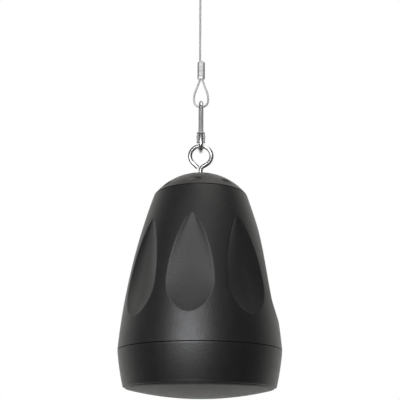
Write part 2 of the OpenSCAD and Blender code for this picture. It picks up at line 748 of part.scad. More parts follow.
module grille() color("dimgray") at_seam() {
    difference() {
        union() {
            dome_shell(0, grille_t, grille_r);
            tube(grille_r, grille_r - grille_t, grille_rim, ledge_low);
        }
        for (p = hex_grid(grille_pitch, grille_r - grille_hole_d))
            translate([p[0], p[1], 0]) disc(grille_hole_d / 2, grille_rim - 2 * grille_bulge, grille_rim + 5, $fn = 32);
    }
}

module grille_cloth() color("black") at_seam() {
    dome_shell(grille_t + 0.1, cloth_t, grille_r - grille_t - 0.3);
}

module baffle() color("dimgray") at_seam() difference() {
    disc(baffle_r, baffle_low, baffle_top);
    disc(cutout_r, baffle_low - 1, baffle_top + 1);
    translate([0, port_offset, 0]) disc(port_r + 1.6, baffle_low - 1, baffle_top + 1, $fn = 48);
    translate([0, -port_offset, 0]) disc(dial_shaft_r + turn_clear, baffle_low - 1, baffle_top + 1, $fn = 32);
    copies(baffle_screw_count, baffle_screw_circle_r, 30) disc(screw_r + hole_clear, baffle_low - 1, baffle_top + 1, $fn = 32);
    copies(driver_screw_count, driver_screw_circle_r, 45) disc(screw_r - 0.4, baffle_low - 1, baffle_low + 9, $fn = 32);
}

module baffle_gasket() color("black") at_seam() difference() {
    tube(baffle_r, ledge_r, ledge_top, baffle_low);
    copies(baffle_screw_count, baffle_screw_circle_r, 30) disc(screw_r + hole_clear, ledge_top - 1, baffle_low + 1, $fn = 32);
}

module baffle_screws() color("silver") at_seam() {
    copies(baffle_screw_count, baffle_screw_circle_r, 30)
        pan_screw(ledge_low - screw_head_t, post_top - 3 - ledge_low);
}

module port_tube() color("dimgray") at_seam() translate([0, port_offset, 0]) {
    lip = 1.2;
    difference() {
        union() {
            disc(port_r + port_lip, baffle_low - lip, baffle_low, $fn = 48);
            disc(port_r + 1.5, baffle_low - eps, baffle_low + port_len, $fn = 48);
        }
        disc(port_r, baffle_low - 2 * lip, baffle_low + port_len + 1, $fn = 48);
    }
}

module tap_dial() color("gray") at_seam() translate([0, -port_offset, 0]) {
    difference() {
        union() {
            disc(dial_r, baffle_low - 6.3, baffle_low - hook_clear, $fn = 48);
            disc(dial_shaft_r, baffle_low - 1, baffle_top + 4, $fn = 32);
        }
        translate([-dial_r, -0.8, baffle_low - 8]) cube([2 * dial_r, 1.6, 3]);
    }
}

module tap_switch() color("black") at_seam() translate([0, -port_offset, 0]) {
    difference() {
        translate([-10, -10, baffle_top]) cube([20, 20, 12]);
        disc(dial_shaft_r + turn_clear, baffle_top - 1, baffle_top + 5, $fn = 32);
    }
}

board_low = baffle_top + 6;
board_t = 1.6;
board_x = cutout_r + 7.5;
board_w = 28;
board_len = 52;
module board_posts(r, low, high) {
    for (x = [board_x + 4, board_x + board_w - 4], y = [-board_len / 2 + 4, board_len / 2 - 4])
        translate([x, y, 0]) disc(r, low, high, $fn = 32);
}

module crossover_board() color("darkgreen") at_seam() {
    translate([board_x, -board_len / 2, board_low]) cube([board_w, board_len, board_t]);
}

module board_standoffs() color("gainsboro") at_seam() {
    board_posts(3, baffle_top, board_low);
}

module crossover_coil() color("peru") at_seam() translate([board_x + board_w / 2, -11, 0]) {
    tube(11, 4, board_low + board_t, board_low + board_t + 14);
}

module crossover_capacitors() color("steelblue") at_seam() {
    for (y = [8, 20]) translate([board_x + 3, y, board_low + board_t + 5])
        rotate([0, 90, 0]) cylinder(r = 5, h = board_w - 6, $fn = 32);
}

module driver_gasket() color("black") at_seam() difference() {
    tube(frame_r, cutout_r + 1, frame_top, baffle_low);
    copies(driver_screw_count, driver_screw_circle_r, 45) disc(screw_r, frame_top - 1, baffle_low + 1, $fn = 32);
}

module driver_basket() color("black") at_seam() {
    wall = 2;
    mouth_r = cutout_r - 0.5;
    neck_r = spider_r - 2.5;
    section = [
        [mouth_r - 3, frame_low], [frame_r, frame_low], [frame_r, frame_top], [mouth_r, frame_top],
        [mouth_r, baffle_top], [spider_r + 3, shelf_z], [spider_r + 3, shelf_z + shelf_t], [neck_r, shelf_z + shelf_t],
        [neck_r, basket_top - wall], [neck_r, basket_top], [gap_r + 2, basket_top], [gap_r + 2, basket_top - wall],
        [neck_r - wall, basket_top - wall], [neck_r - wall, shelf_z], [spider_r + 3 - wall, shelf_z],
        [mouth_r - wall, baffle_top - 1], [mouth_r - wall, frame_top], [mouth_r - 3, frame_top]
    ];
    difference() {
        rotate_extrude() polygon(section);
        for (k = [0 : 5]) rotate([0, 0, 60 * k + 30]) translate([neck_r, -12, baffle_top + 2])
            cube([30, 24, shelf_z - baffle_top - 4]);
        copies(driver_screw_count, driver_screw_circle_r, 45) disc(screw_r + hole_clear, frame_low - 1, frame_top + 1, $fn = 32);
    }
}

module driver_screws() color("silver") at_seam() {
    copies(driver_screw_count, driver_screw_circle_r, 45) translate([0, 0, frame_low - screw_head_t])
        {
            disc(screw_head_r, 0, screw_head_t, $fn = 32);
            disc(screw_r - 0.5, screw_head_t - eps, screw_head_t + frame_t + gasket_t + 6, $fn = 32);
        }
}

// Half-roll rubber surround between the cone and the frame
module driver_surround() color("black") at_seam() {
    roll_r = surround_w / 2;
    mid = cone_r + 1 + roll_r;
    rim_r = mid + roll_r + surround_rim;
    rise = 0.8;
    over = [for (k = [0 : 12]) let (a = 180 - 15 * k) [mid + roll_r * cos(a), cone_low - rise - roll_r * sin(a)]];
    under = [for (k = [0 : 12]) let (a = 15 * k)
        [mid + (roll_r - rise) * cos(a), cone_low - rise - (roll_r - rise) * sin(a)]];
    rotate_extrude() polygon(concat([[cone_r - 3, cone_low - rise]], over,
        [[rim_r, cone_low - rise], [rim_r, cone_low]],
        [[mid + roll_r - rise, cone_low]], under, [[mid - roll_r + rise, cone_low], [cone_r - 3, cone_low]]));
}

module driver_cone() color("dimgray") at_seam() {
    skin = 1;
    steps = 6;
    inside = [for (k = [0 : steps]) let (t = k / steps)
        [pair(cone_r, coil_r, t), pair(cone_low + fit_clear, cone_high, t) + 3 * bow(t)]];
    back = [for (k = [steps : -1 : 0]) [inside[k][0] + (k == steps ? 0 : skin * 0.5), inside[k][1] + skin]];
    rotate_extrude() polygon(concat(inside, back));
}

// Corrugated disc that centres the voice coil
module driver_spider() color("darkkhaki") at_seam() {
    steps = 24;
    wave = 0.7;
    thick = 0.5;
    top = [for (k = [0 : steps]) let (t = k / steps)
        [pair(coil_r + 0.5, spider_r, t), shelf_z - 0.6 + wave * sin(360 * 4 * t)]];
    low = [for (k = [steps : -1 : 0]) [top[k][0], top[k][1] - thick]];
    rotate_extrude() polygon(concat(top, low));
}

module voice_coil() color("peru") at_seam() {
    tube(coil_r, coil_r - 0.5, cone_high + 1, magnet_z);
}

module magnet_top_plate() color("lightgray") at_seam() {
    tube(magnet_r - 4, gap_r, basket_top, magnet_z);
}

module driver_magnet() color("dimgray") at_seam() {
    tube(magnet_r, magnet_r / 2, magnet_z, back_plate_z);
}

module magnet_back_plate() color("lightgray") at_seam() {
    disc(magnet_r - 4, back_plate_z, back_plate_z + back_plate_t);
    disc(pole_r, basket_top, back_plate_z + eps);
}

module tweeter_body() color("black") at_seam() {
    difference() {
        union() {
            disc(tweeter_r, tweeter_low, tweeter_low + tweeter_h);
            disc(tweeter_post_r, tweeter_low + tweeter_h - eps, basket_top, $fn = 48);
        }
        translate([0, 0, tweeter_low - 1]) cylinder(r1 = tweeter_r - 1, r2 = tweeter_r - 5, h = 4);
    }
}

module tweeter_dome() color("silver") at_seam() {
    ball = 14;
    base = tweeter_low + 3;
    intersection() {
        translate([0, 0, base + ball - 4]) sphere(r = ball, $fn = 64);
        disc(tweeter_r - 6, base - 5, base);
    }
}

ceiling_fitting();
suspension_rope();
rope_ferrule();
snap_hook();
gate_rivet();
hook_gate();
eye_bolt();
eye_bolt_nuts();
eye_bolt_washers();
top_cap();
cap_seal();
housing();
hanging_plate();
plate_screws();
terminal_block();
terminal_screws();
transformer_frame();
transformer_core();
transformer_winding();
transformer_screws();
mounting_ring();
front_ring();
grille();
grille_cloth();
baffle();
baffle_gasket();
baffle_screws();
port_tube();
tap_dial();
tap_switch();
crossover_board();
board_standoffs();
crossover_coil();
crossover_capacitors();
driver_gasket();
driver_basket();
driver_screws();
driver_surround();
driver_cone();
driver_spider();
voice_coil();
magnet_top_plate();
driver_magnet();
magnet_back_plate();
tweeter_body();
tweeter_dome();
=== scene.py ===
# %% [markdown]
# # A pendant loudspeaker on a wire rope
#
# This lesson dresses a loudspeaker that hangs from a ceiling: a moulded bell with scooped sides, a tapered ring
# and a perforated grille below, a cap above, and a bent eye, a snap hook and a crimped wire rope over it.
# The construction drawing gives every place and size. Here each visible piece gets its true surface and finish.
#
# The drawing is loaded first, and its record is kept beside its pieces.

# %% Load the construction model
import json
import math

import bmesh
import bpy
from mathutils import Matrix, Vector


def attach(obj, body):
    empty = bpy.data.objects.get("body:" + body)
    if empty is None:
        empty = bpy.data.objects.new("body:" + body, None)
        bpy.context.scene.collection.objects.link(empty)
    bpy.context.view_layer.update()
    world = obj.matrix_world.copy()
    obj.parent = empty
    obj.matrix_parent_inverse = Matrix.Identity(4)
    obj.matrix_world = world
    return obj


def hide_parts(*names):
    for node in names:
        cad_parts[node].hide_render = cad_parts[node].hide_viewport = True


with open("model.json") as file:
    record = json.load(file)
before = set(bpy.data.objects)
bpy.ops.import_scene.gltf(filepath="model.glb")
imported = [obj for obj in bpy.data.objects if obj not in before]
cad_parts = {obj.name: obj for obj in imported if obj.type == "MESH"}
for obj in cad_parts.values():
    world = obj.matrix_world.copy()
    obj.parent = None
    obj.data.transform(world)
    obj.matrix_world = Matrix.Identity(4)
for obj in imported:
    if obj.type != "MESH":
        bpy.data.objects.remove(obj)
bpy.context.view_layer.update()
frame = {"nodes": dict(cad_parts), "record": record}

nodes = frame["nodes"]

# %% [markdown]
# ## Measures
#
# The drawing counts from the ceiling fitting. A loudspeaker is easier to think about from its own lower seam,
# where the bell meets the ring, so two small helpers turn millimetres into places: one from the ceiling,
# and one from the seam and the speaker's own axis, which hangs a little to the right of the rope.

# %% Places and sizes
MM = 0.001
AXIS_X = 1.85
SEAM_Z = -600.025


def hung(x, y, z):
    return Vector((x * MM, y * MM, z * MM))


def seam(x, y, z):
    return hung(AXIS_X + x, y, SEAM_Z + z)


print("lower seam at", round(SEAM_Z * MM, 4), "m")

# %% [markdown]
# ## The camera
#
# The photograph looks up at the speaker from a little over a metre away, from below its grille, with a short
# telephoto lens. The grille therefore shows as a thin crescent, and the cap as a low dome. The camera comes
# first, because everything after it is seen through it.

# %% Set up the camera
bpy.ops.object.select_all(action="DESELECT")
bpy.ops.object.camera_add(location=hung(1.01, -1110, -728.1))
camera = bpy.context.active_object
camera.name = "photo_camera"
camera.data.sensor_width = 36
camera.data.lens = 70.49
tilt = Matrix.Rotation(math.radians(90 + 17.51), 4, "X") @ Matrix.Rotation(math.radians(0.3), 4, "Z")
camera.rotation_euler = tilt.to_euler()
bpy.context.scene.camera = camera
bpy.context.scene.view_settings.view_transform = "Standard"
print("lens", camera.data.lens, "mm")

# %% [markdown]
# ## The wire rope
#
# A hanging rope of this size is made of strands laid round each other, which is what gives it its fine slanted
# ribs. It comes straight down, passes the ferrule, turns round through a narrow eye and goes back up, and its
# tail ends just above the ferrule. A plain tube would be too smooth, so a ring with six lobes
# is carried along the route and turned a little at each step, as the strands are.

# %% Route of the rope
ROPE_R = 1.6
LEG = 1.85
FERRULE_TOP = -151.5
FERRULE_LOW = -180.0
eye_route = [
    (2.4, 3), (4, 8), (6, 14), (8.2, 20), (10, 26), (10.9, 32),
    (10.9, 36), (10, 41), (8, 44.4), (5.4, 46.4), (2.8, 47.5), (0, 47.8),
]
tail_top = FERRULE_TOP + 2.5
fitting_end = -16.5

corners = [(LEG, tail_top), (LEG, -160), (LEG, -170), (LEG, -177)]
corners += [(x, FERRULE_LOW - z) for x, z in eye_route]
corners += [(-x, FERRULE_LOW - z) for x, z in reversed(eye_route[:-1])]
corners += [(-LEG, -177), (-LEG, -160), (-LEG, -140), (-LEG, -100), (-LEG, -60), (-LEG, fitting_end)]


def smooth_line(points, step):
    """Points at an even spacing on a smooth curve through the given ones."""
    ends = [points[0]] + points + [points[-1]]
    fine = []
    for p0, p1, p2, p3 in zip(ends, ends[1:], ends[2:], ends[3:]):
        p0, p1, p2, p3 = (Vector(p) for p in (p0, p1, p2, p3))
        t1 = max((p1 - p0).length ** 0.5, 1e-6)
        t2 = max((p2 - p1).length ** 0.5, 1e-6)
        t3 = max((p3 - p2).length ** 0.5, 1e-6)
        m1 = (p2 - p1) / t2 if t1 < 1e-3 else (p1 - p0) / t1 - (p2 - p0) / (t1 + t2) + (p2 - p1) / t2
        m2 = (p2 - p1) / t2 if t3 < 1e-3 else (p2 - p1) / t2 - (p3 - p1) / (t2 + t3) + (p3 - p2) / t3
        m1, m2 = m1 * t2, m2 * t2
        for k in range(40):
            u = k / 40
            fine.append(p1 * (2 * u**3 - 3 * u**2 + 1) + m1 * (u**3 - 2 * u**2 + u)
                        + p2 * (3 * u**2 - 2 * u**3) + m2 * (u**3 - u**2))
    fine.append(Vector(points[-1]))
    line = [fine[0]]
    along = 0.0
    for a, b in zip(fine, fine[1:]):
        gap = (b - a).length
        while gap > 0 and along + gap >= step:
            a = a + (b - a) * ((step - along) / gap)
            line.append(a)
            gap = (b - a).length
            along = 0.0
        along += gap
    if (line[-1] - fine[-1]).length > step * 0.3:
        line.append(fine[-1])
    return line


rope_line = smooth_line(corners, 0.8)

# %% Lay the strands along the route
STRANDS = 6
LAY = 19.0
ring_sides = STRANDS * 4
lobe = [0.93, 0.985, 1.0, 0.985]

rope_points, rope_faces = [], []
for k, p in enumerate(rope_line):
    way = (rope_line[min(k + 1, len(rope_line) - 1)] - rope_line[max(k - 1, 0)]).normalized()
    side = Vector((way.y, -way.x))
    turn = 2 * math.pi * 0.8 * k / LAY
    for j in range(ring_sides):
        angle = turn + 2 * math.pi * j / ring_sides
        out = ROPE_R * lobe[j % 4] * math.cos(angle)
        deep = ROPE_R * lobe[j % 4] * math.sin(angle)
        rope_points.append(hung(AXIS_X + p.x + side.x * out, deep, p.y + side.y * out))
for k in range(len(rope_line) - 1):
    for j in range(ring_sides):
        a, b = k * ring_sides + j, k * ring_sides + (j + 1) % ring_sides
        rope_faces.append((a, b, b + ring_sides, a + ring_sides))
last = (len(rope_line) - 1) * ring_sides
rope_faces.append(tuple(range(ring_sides))[::-1])
rope_faces.append(tuple(last + j for j in range(ring_sides)))

rope_mesh = bpy.data.meshes.new("wire_rope")
rope_mesh.from_pydata(rope_points, [], rope_faces)
wire_rope = bpy.data.objects.new("wire_rope", rope_mesh)
bpy.context.scene.collection.objects.link(wire_rope)
print("rope faces", len(rope_faces))

# %% [markdown]
# ## Small tools for the bench
#
# Most pieces here are turned on a lathe or bent from rod. Both are made the same way by hand in Blender: a circle
# is added, its edge is extruded and scaled from one level to the next, or it is pushed along and spun round a
# bend. The helpers below only save typing. Each one leaves a clean mesh whose object sits at the origin.

# %% Helpers for selecting, closing and cutting
def only(obj):
    bpy.ops.object.select_all(action="DESELECT")
    obj.select_set(True)
    bpy.context.view_layer.objects.active = obj


def tidy(obj, merge=0.00001):
    """Merges doubles, points the faces outwards and puts the place into the mesh."""
    if bpy.context.mode != "OBJECT":
        bpy.ops.object.mode_set(mode="OBJECT")
    only(obj)
    bpy.ops.object.transform_apply(location=True, rotation=True, scale=True)
    bpy.ops.object.mode_set(mode="EDIT")
    bpy.ops.mesh.select_all(action="SELECT")
    bpy.ops.mesh.remove_doubles(threshold=merge)
    bpy.ops.mesh.normals_make_consistent(inside=False)
    bpy.ops.object.mode_set(mode="OBJECT")
    return obj


def apply_modifier(obj, kind, **settings):
    only(obj)
    modifier = obj.modifiers.new(kind.lower(), kind)
    for key, value in settings.items():
        setattr(modifier, key, value)
    bpy.ops.object.modifier_apply(modifier=modifier.name)


def carve(obj, *cutters, operation="DIFFERENCE"):
    for cutter in cutters:
        apply_modifier(obj, "BOOLEAN", operation=operation, solver="EXACT", object=cutter)
        bpy.data.objects.remove(cutter, do_unlink=True)
    return obj


def smooth(obj, angle=30):
    only(obj)
    bpy.ops.object.shade_smooth_by_angle(angle=math.radians(angle))


def soften(obj, width, limit=30, segments=2):
    apply_modifier(obj, "BEVEL", width=width * MM, segments=segments, limit_method="ANGLE",
                   angle_limit=math.radians(limit), use_clamp_overlap=True)
    smooth(obj, limit)


def report(obj):
    bm = bmesh.new()
    bm.from_mesh(obj.data)
    open_edges = sum(not e.is_manifold for e in bm.edges)
    bm.free()
    triangles = sum(len(p.vertices) - 2 for p in obj.data.polygons)
    print(obj.name, "triangles", triangles, "open edges", open_edges)


# %% Helper for turned pieces
def turned(name, profile, steps=96, centre=(AXIS_X, 0), base=SEAM_Z, closed=True):
    """A profile of (radius, height) points carried round a vertical axis. A closed one comes back to its first point."""
    bpy.ops.object.select_all(action="DESELECT")
    r, z = profile[0]
    bpy.ops.mesh.primitive_circle_add(vertices=steps, radius=r * MM, location=hung(*centre, base + z))
    obj = bpy.context.active_object
    obj.name = name
    bpy.ops.object.mode_set(mode="EDIT")
    bpy.ops.mesh.select_all(action="SELECT")
    path = profile + profile[:1] if closed else profile
    for (r_a, z_a), (r_b, z_b) in zip(path, path[1:]):
        bpy.ops.mesh.extrude_edges_move(TRANSFORM_OT_translate={"value": (0, 0, (z_b - z_a) * MM)})
        bpy.ops.transform.resize(value=(r_b / r_a, r_b / r_a, 1), center_override=hung(*centre, base + z_b))
    return tidy(obj, 0.00003 if not closed else 0.00001)


# %% Helpers for bent rod
def rod_end(name, radius, place, facing, sides=32):
    """A round face at the end of a rod, ready to be pushed along."""
    bpy.ops.object.select_all(action="DESELECT")
    bpy.ops.mesh.primitive_circle_add(vertices=sides, radius=radius * MM, fill_type="NGON", location=place,
                                      rotation=facing.to_track_quat("Z", "Y").to_euler())
    obj = bpy.context.active_object
    obj.name = name
    bpy.ops.object.mode_set(mode="EDIT")
    bpy.ops.mesh.select_all(action="SELECT")
    return obj


def push(way, length):
    step = way.normalized() * length * MM
    bpy.ops.mesh.extrude_region_move(TRANSFORM_OT_translate={"value": step})


def bend_rod(centre, axis, degrees, steps):
    bpy.ops.mesh.spin(steps=steps, angle=math.radians(-degrees), center=centre, axis=axis)


print("bench tools ready")

# %% [markdown]
# ## The ferrule
#
# The ferrule is a soft metal sleeve with two bores, pressed flat over both legs of the rope. The press leaves
# shallow waists across it. A cylinder is pulled apart into an oval, cut across into bands, and every
# second band is squeezed a little. The two bores are cut last, so that the rope runs through it.

# %% Press the ferrule
bpy.ops.object.select_all(action="DESELECT")
bpy.ops.mesh.primitive_cylinder_add(vertices=48, radius=3.7 * MM, depth=28.5 * MM,
                                    location=hung(AXIS_X, 0, (FERRULE_TOP + FERRULE_LOW) / 2))
ferrule = bpy.context.active_object
ferrule.name = "pressed_ferrule"
bpy.ops.object.transform_apply(location=True)
for v in ferrule.data.vertices:
    v.co.x += (2.3 if v.co.x > AXIS_X * MM else -2.3) * MM
bpy.ops.object.mode_set(mode="EDIT")
for band in range(1, 14):
    bpy.ops.mesh.select_all(action="SELECT")
    bpy.ops.mesh.bisect(plane_co=hung(0, 0, FERRULE_LOW + 28.5 * band / 14), plane_no=(0, 0, 1))
bpy.ops.object.mode_set(mode="OBJECT")
for v in ferrule.data.vertices:
    band = (v.co.z / MM - FERRULE_LOW) / 28.5 * 14
    if 2.5 < band < 4.5 or 6.5 < band < 7.5 or 9.5 < band < 11.5:
        v.co.y *= 0.98
        v.co.x = AXIS_X * MM + (v.co.x - AXIS_X * MM) * 0.995
tidy(ferrule)
soften(ferrule, 0.6, 40)
for x in (-LEG, LEG):
    bpy.ops.mesh.primitive_cylinder_add(vertices=24, radius=1.72 * MM, depth=40 * MM,
                                        location=hung(AXIS_X + x, 0, (FERRULE_TOP + FERRULE_LOW) / 2))
    carve(ferrule, bpy.context.active_object)
smooth(ferrule, 40)
report(ferrule)

# %% [markdown]
# ## The ceiling fitting
#
# Over the picture's edge the rope ends in a turned coupling with a tapped hole for the ceiling bolt. It is
# turned from its profile, with a chamfer at each edge, and gets two flats for a spanner.

# %% Turn the ceiling fitting
coupling = turned("ceiling_coupling", [
    (0.01, -14), (3.4, -14), (3.4, -0.7), (4.1, 0), (7.3, 0), (8, -0.7), (8, -16.2), (7.6, -17.4),
    (4.6, -27.2), (3.9, -28), (1.9, -28), (1.72, -27.8), (1.72, -16), (0.01, -16),
], 64, centre=(0, 0), base=0, closed=False)
for side in (-1, 1):
    bpy.ops.mesh.primitive_cube_add(size=1, location=hung(side * 11.8, 0, -10))
    block = bpy.context.active_object
    block.dimensions = (10 * MM, 20 * MM, 9 * MM)
    bpy.ops.object.transform_apply(scale=True)
    carve(coupling, block)
soften(coupling, 0.25, 40)
report(coupling)

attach(wire_rope, "rope")
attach(ferrule, "rope")
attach(coupling, "rope")
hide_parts("suspension_rope")
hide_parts("rope_ferrule")
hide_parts("ceiling_fitting")

# %% [markdown]
# ## The snap hook
#
# The hook is one piece of polished rod: over the top in a wide bow, down the back, round a tighter bow at the
# bottom and a short way up the front, where the gate hangs on it. In edit mode the rod's end is spun round each bow and
# pushed along each leg. Its nose has a slot for the gate's tongue and a notch for the gate's cross pin.

# %% Bend the hook
HOOK_R = 3.75
TOP_BOW, LOW_BOW = 15.0, 10.0
TOP_BOW_Z, LOW_BOW_Z = -237.15, -289.65
LEAN = math.asin((TOP_BOW - LOW_BOW) / (TOP_BOW_Z - LOW_BOW_Z))
LEG_LEN = (TOP_BOW_Z - LOW_BOW_Z) * math.cos(LEAN)
lean_deg = math.degrees(LEAN)


def front_leg(across, up, beside=0.0):
    """A place on the hook's front leg: across it, up along it, and to the right."""
    y = -LOW_BOW * math.cos(LEAN) + across * math.cos(LEAN) - up * math.sin(LEAN)
    z = LOW_BOW_Z - LOW_BOW * math.sin(LEAN) + across * math.sin(LEAN) + up * math.cos(LEAN)
    return hung(AXIS_X + beside, y, z)


up_leg = front_leg(0, 1) - front_leg(0, 0)
hook = rod_end("polished_hook", HOOK_R, front_leg(0, LEG_LEN), up_leg)
bend_rod(hung(AXIS_X, 0, TOP_BOW_Z), (1, 0, 0), -(180 + 2 * lean_deg), 36)
push(Vector((0, -math.sin(LEAN), -math.cos(LEAN))), LEG_LEN)
bend_rod(hung(AXIS_X, 0, LOW_BOW_Z), (1, 0, 0), -(180 - 2 * lean_deg), 30)
push(up_leg, 12.2)
tidy(hook)
report(hook)


# %% Cut the nose slot, the pin's notch and the rivet hole
def leg_box(across, up, beside, size):
    """A block in line with the hook's front leg, by its middle and its three sizes."""
    bpy.ops.object.select_all(action="DESELECT")
    bpy.ops.mesh.primitive_cube_add(size=1, location=front_leg(across, up, beside), rotation=(LEAN, 0, 0))
    block = bpy.context.active_object
    block.scale = (size[2] * MM, size[0] * MM, size[1] * MM)
    bpy.ops.object.transform_apply(location=True, rotation=True, scale=True)
    return block


def cross_rod(across, up, radius, length, sides=32):
    """A rod that lies across the hook, from side to side."""
    bpy.ops.object.select_all(action="DESELECT")
    bpy.ops.mesh.primitive_cylinder_add(vertices=sides, radius=radius * MM, depth=length * MM,
                                        location=front_leg(across, up), rotation=(0, math.pi / 2, 0))
    rod = bpy.context.active_object
    bpy.ops.object.transform_apply(location=True, rotation=True, scale=True)
    return rod


PIVOT_UP = 8.2
PIN_UP = LEG_LEN + 3.0
carve(hook,
      leg_box(0, LEG_LEN + 2.5, 0, (15, 7, 3.0)),
      cross_rod(0, PIN_UP, 1.4, 20),
      leg_box(5, PIN_UP, 0, (10, 2.8, 20)),
      cross_rod(0, PIVOT_UP, 1.62, 20))
soften(hook, 0.35, 40)
report(hook)
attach(hook, "hook")
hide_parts("snap_hook")

# %% [markdown]
# ## The gate
#
# The gate is a plainer, grayer piece. Its foot is a fork whose two ears straddle the hook's short leg, with rounded
# shoulders where they step out from the rod. A thin tongue and a cross pin at its tip lock into the nose.
# Fork, rod, tongue and pin are united into one piece and the edges are softened at the end.

# %% Build the gate
TIP = LEG_LEN - 0.3
gate = leg_box(0, PIVOT_UP, 0, (8.4, 15.7, 12.6))
gate.name = "hook_gate_fork"
only(gate)
bpy.ops.object.mode_set(mode="EDIT")
bm = bmesh.from_edit_mesh(gate.data)
for edge in bm.edges:
    way = (edge.verts[0].co - edge.verts[1].co).normalized()
    high = min((v.co - front_leg(0, PIVOT_UP)).dot(up_leg) for v in edge.verts) > 0
    edge.select_set(high and abs(way.x) < 0.1 and abs(way.dot(up_leg / up_leg.length)) < 0.1)
bmesh.update_edit_mesh(gate.data)
bpy.ops.mesh.bevel(offset=2.2 * MM, segments=6)
bpy.ops.object.mode_set(mode="OBJECT")

stem = rod_end("gate_stem", 3.7, front_leg(0, PIVOT_UP + 6.5), up_leg, 40)
push(up_leg, TIP - PIVOT_UP - 6.5)
tidy(stem)
carve(gate, stem, operation="UNION")
carve(gate, leg_box(0, TIP + 1.8, 0, (5, 5.6, 2.4)), operation="UNION")
carve(gate, cross_rod(0, PIN_UP, 1.1, 6.6), operation="UNION")
carve(gate, leg_box(0, PIVOT_UP - 1.9, 0, (17, 16.2, 8.1)))
carve(gate, cross_rod(0, PIVOT_UP, 1.68, 30))
tidy(gate)
soften(gate, 0.3, 35)
report(gate)
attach(gate, "gate")
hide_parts("hook_gate")

# %% [markdown]
# ## The gate's rivet
#
# The rivet's heads are thin and domed. A turned profile lies on its side across the ears.

# %% Turn the rivet
dome = [(3.0 * math.cos(a), 6.32 + 0.58 * math.sin(a)) for a in (math.radians(15 * k) for k in range(6))]
half = [(1.6, 0.0), (1.6, 6.31), (3.0, 6.31)] + dome[1:] + [(0.01, 6.9)]
profile = [(r, -z) for r, z in reversed(half[1:])] + half[1:]
rivet = turned("gate_rivet_pin", profile, 40, centre=(0, 0), base=0, closed=False)
rivet.rotation_euler = (0, math.pi / 2, 0)
rivet.location = front_leg(0, PIVOT_UP)
tidy(rivet)
smooth(rivet, 40)
report(rivet)
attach(rivet, "hook")
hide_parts("gate_rivet")

# %% [markdown]
# ## The eye bolt
#
# The eye is bent from one round bar, and the cut end is left open beside the shank, as on a cheap and strong
# forged hook. The work starts at that cut end: push, spin round the eye, push, spin back
# into line, and push down through the cap.

# %% Bend the eye
EYE_R, EYE_ROD = 16.2, 3.5
EYE_Z = -308.3
BEND_R = 8.0
end_angle, leave_angle = math.radians(224), math.radians(-60)


def in_eye(x, up):
    return hung(AXIS_X + x, 0, EYE_Z + up)


leave_way = Vector((-math.sin(end_angle), 0, math.cos(end_angle)))
end_place = in_eye(EYE_R * math.cos(end_angle), EYE_R * math.sin(end_angle)) + leave_way * 10.4 * MM
eye = rod_end("bent_eye", EYE_ROD, end_place, -leave_way)
push(-leave_way, 10.4)
bend_rod(in_eye(0, 0), (0, -1, 0), -284, 56)
push(Vector((-math.sin(math.radians(60)), 0, -0.5)), 4.734)
bend_rod(in_eye(BEND_R, -23.325), (0, -1, 0), 60, 14)
push(Vector((0, 0, -1)), 72.0)
tidy(eye)
soften(eye, 0.5, 40, 3)
report(eye)
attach(eye, "speaker")
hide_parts("eye_bolt")

# %% [markdown]
# ## The cap
#
# The cap is a shallow moulded dome with a ring of scooped pockets near its rim, and a short skirt that drops into the
# bell's neck. It is turned with its true wall, then barrel-shaped cutters that lie along the rim take
# out the pockets. A narrow bevel round them catches the light, as a moulded edge does.

# %% Turn the cap
BELL_H = 225.4
CAP_RISE = 35.2
CAP_R = (69.4**2 + CAP_RISE**2) / (2 * CAP_RISE)
CAP_Z = BELL_H + CAP_RISE - CAP_R
EDGE = BELL_H + 0.45
SCOOPS = 8
SCOOP_TURN = -7.6


def dome_points(radius, from_r, to_r, count):
    rows = []
    for k in range(count + 1):
        a = math.asin(from_r / radius) + (math.asin(to_r / radius) - math.asin(from_r / radius)) * k / count
        rows.append((radius * math.sin(a), CAP_Z + radius * math.cos(a)))
    return rows


edge_r = math.sqrt(CAP_R**2 - (EDGE - CAP_Z) ** 2)
outside = dome_points(CAP_R, 3.9, edge_r - 0.5, 44)
lip = [(edge_r - 0.12, EDGE + 0.32), (edge_r - 0.25, EDGE)]
skirt = [(65.5, EDGE), (65.5, 221.4), (65.1, 221.0), (62.9, 221.0), (62.5, 221.4)]
inside_r = math.sqrt((CAP_R - 3) ** 2 - (228.6 - CAP_Z) ** 2)
inside = [(62.5, CAP_Z + math.sqrt((CAP_R - 3) ** 2 - 62.5**2))] + dome_points(CAP_R - 3, 62.0, 3.9, 30)
cap = turned("domed_cap", outside + lip + skirt + inside, 192)
report(cap)


# %% Scoop the pockets
POCKET_DEPTH = 2.6


def cutter_radius(width):
    return 1 / (8 * POCKET_DEPTH / width**2 - 1 / CAP_R)


pocket_r, pocket_arc = cutter_radius(16.0), cutter_radius(21.5)
barrel = []
for k in range(25):
    y = -12.5 + 25 * k / 24
    barrel.append((pocket_r - pocket_arc + math.sqrt(pocket_arc**2 - y * y), y))
barrel = [(0.01, -12.5)] + barrel + [(0.01, 12.5)]
lean_out = math.asin(61.2 / CAP_R)
for k in range(SCOOPS):
    cutter = turned("pocket_cutter", barrel, 64, centre=(0, 0), base=0, closed=False)
    stand = (Matrix.Translation(seam(0, 0, CAP_Z))
             @ Matrix.Rotation(math.radians(SCOOP_TURN + 45 * k), 4, "Z")
             @ Matrix.Rotation(lean_out, 4, "X")
             @ Matrix.Translation((0, 0, (CAP_R + pocket_r - POCKET_DEPTH) * MM))
             @ Matrix.Rotation(math.pi / 2, 4, "Y"))
    cutter.matrix_world = stand
    carve(cap, cutter)
soften(cap, 0.5, 14)
smooth(cap, 30)
report(cap)
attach(cap, "speaker")
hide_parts("top_cap")

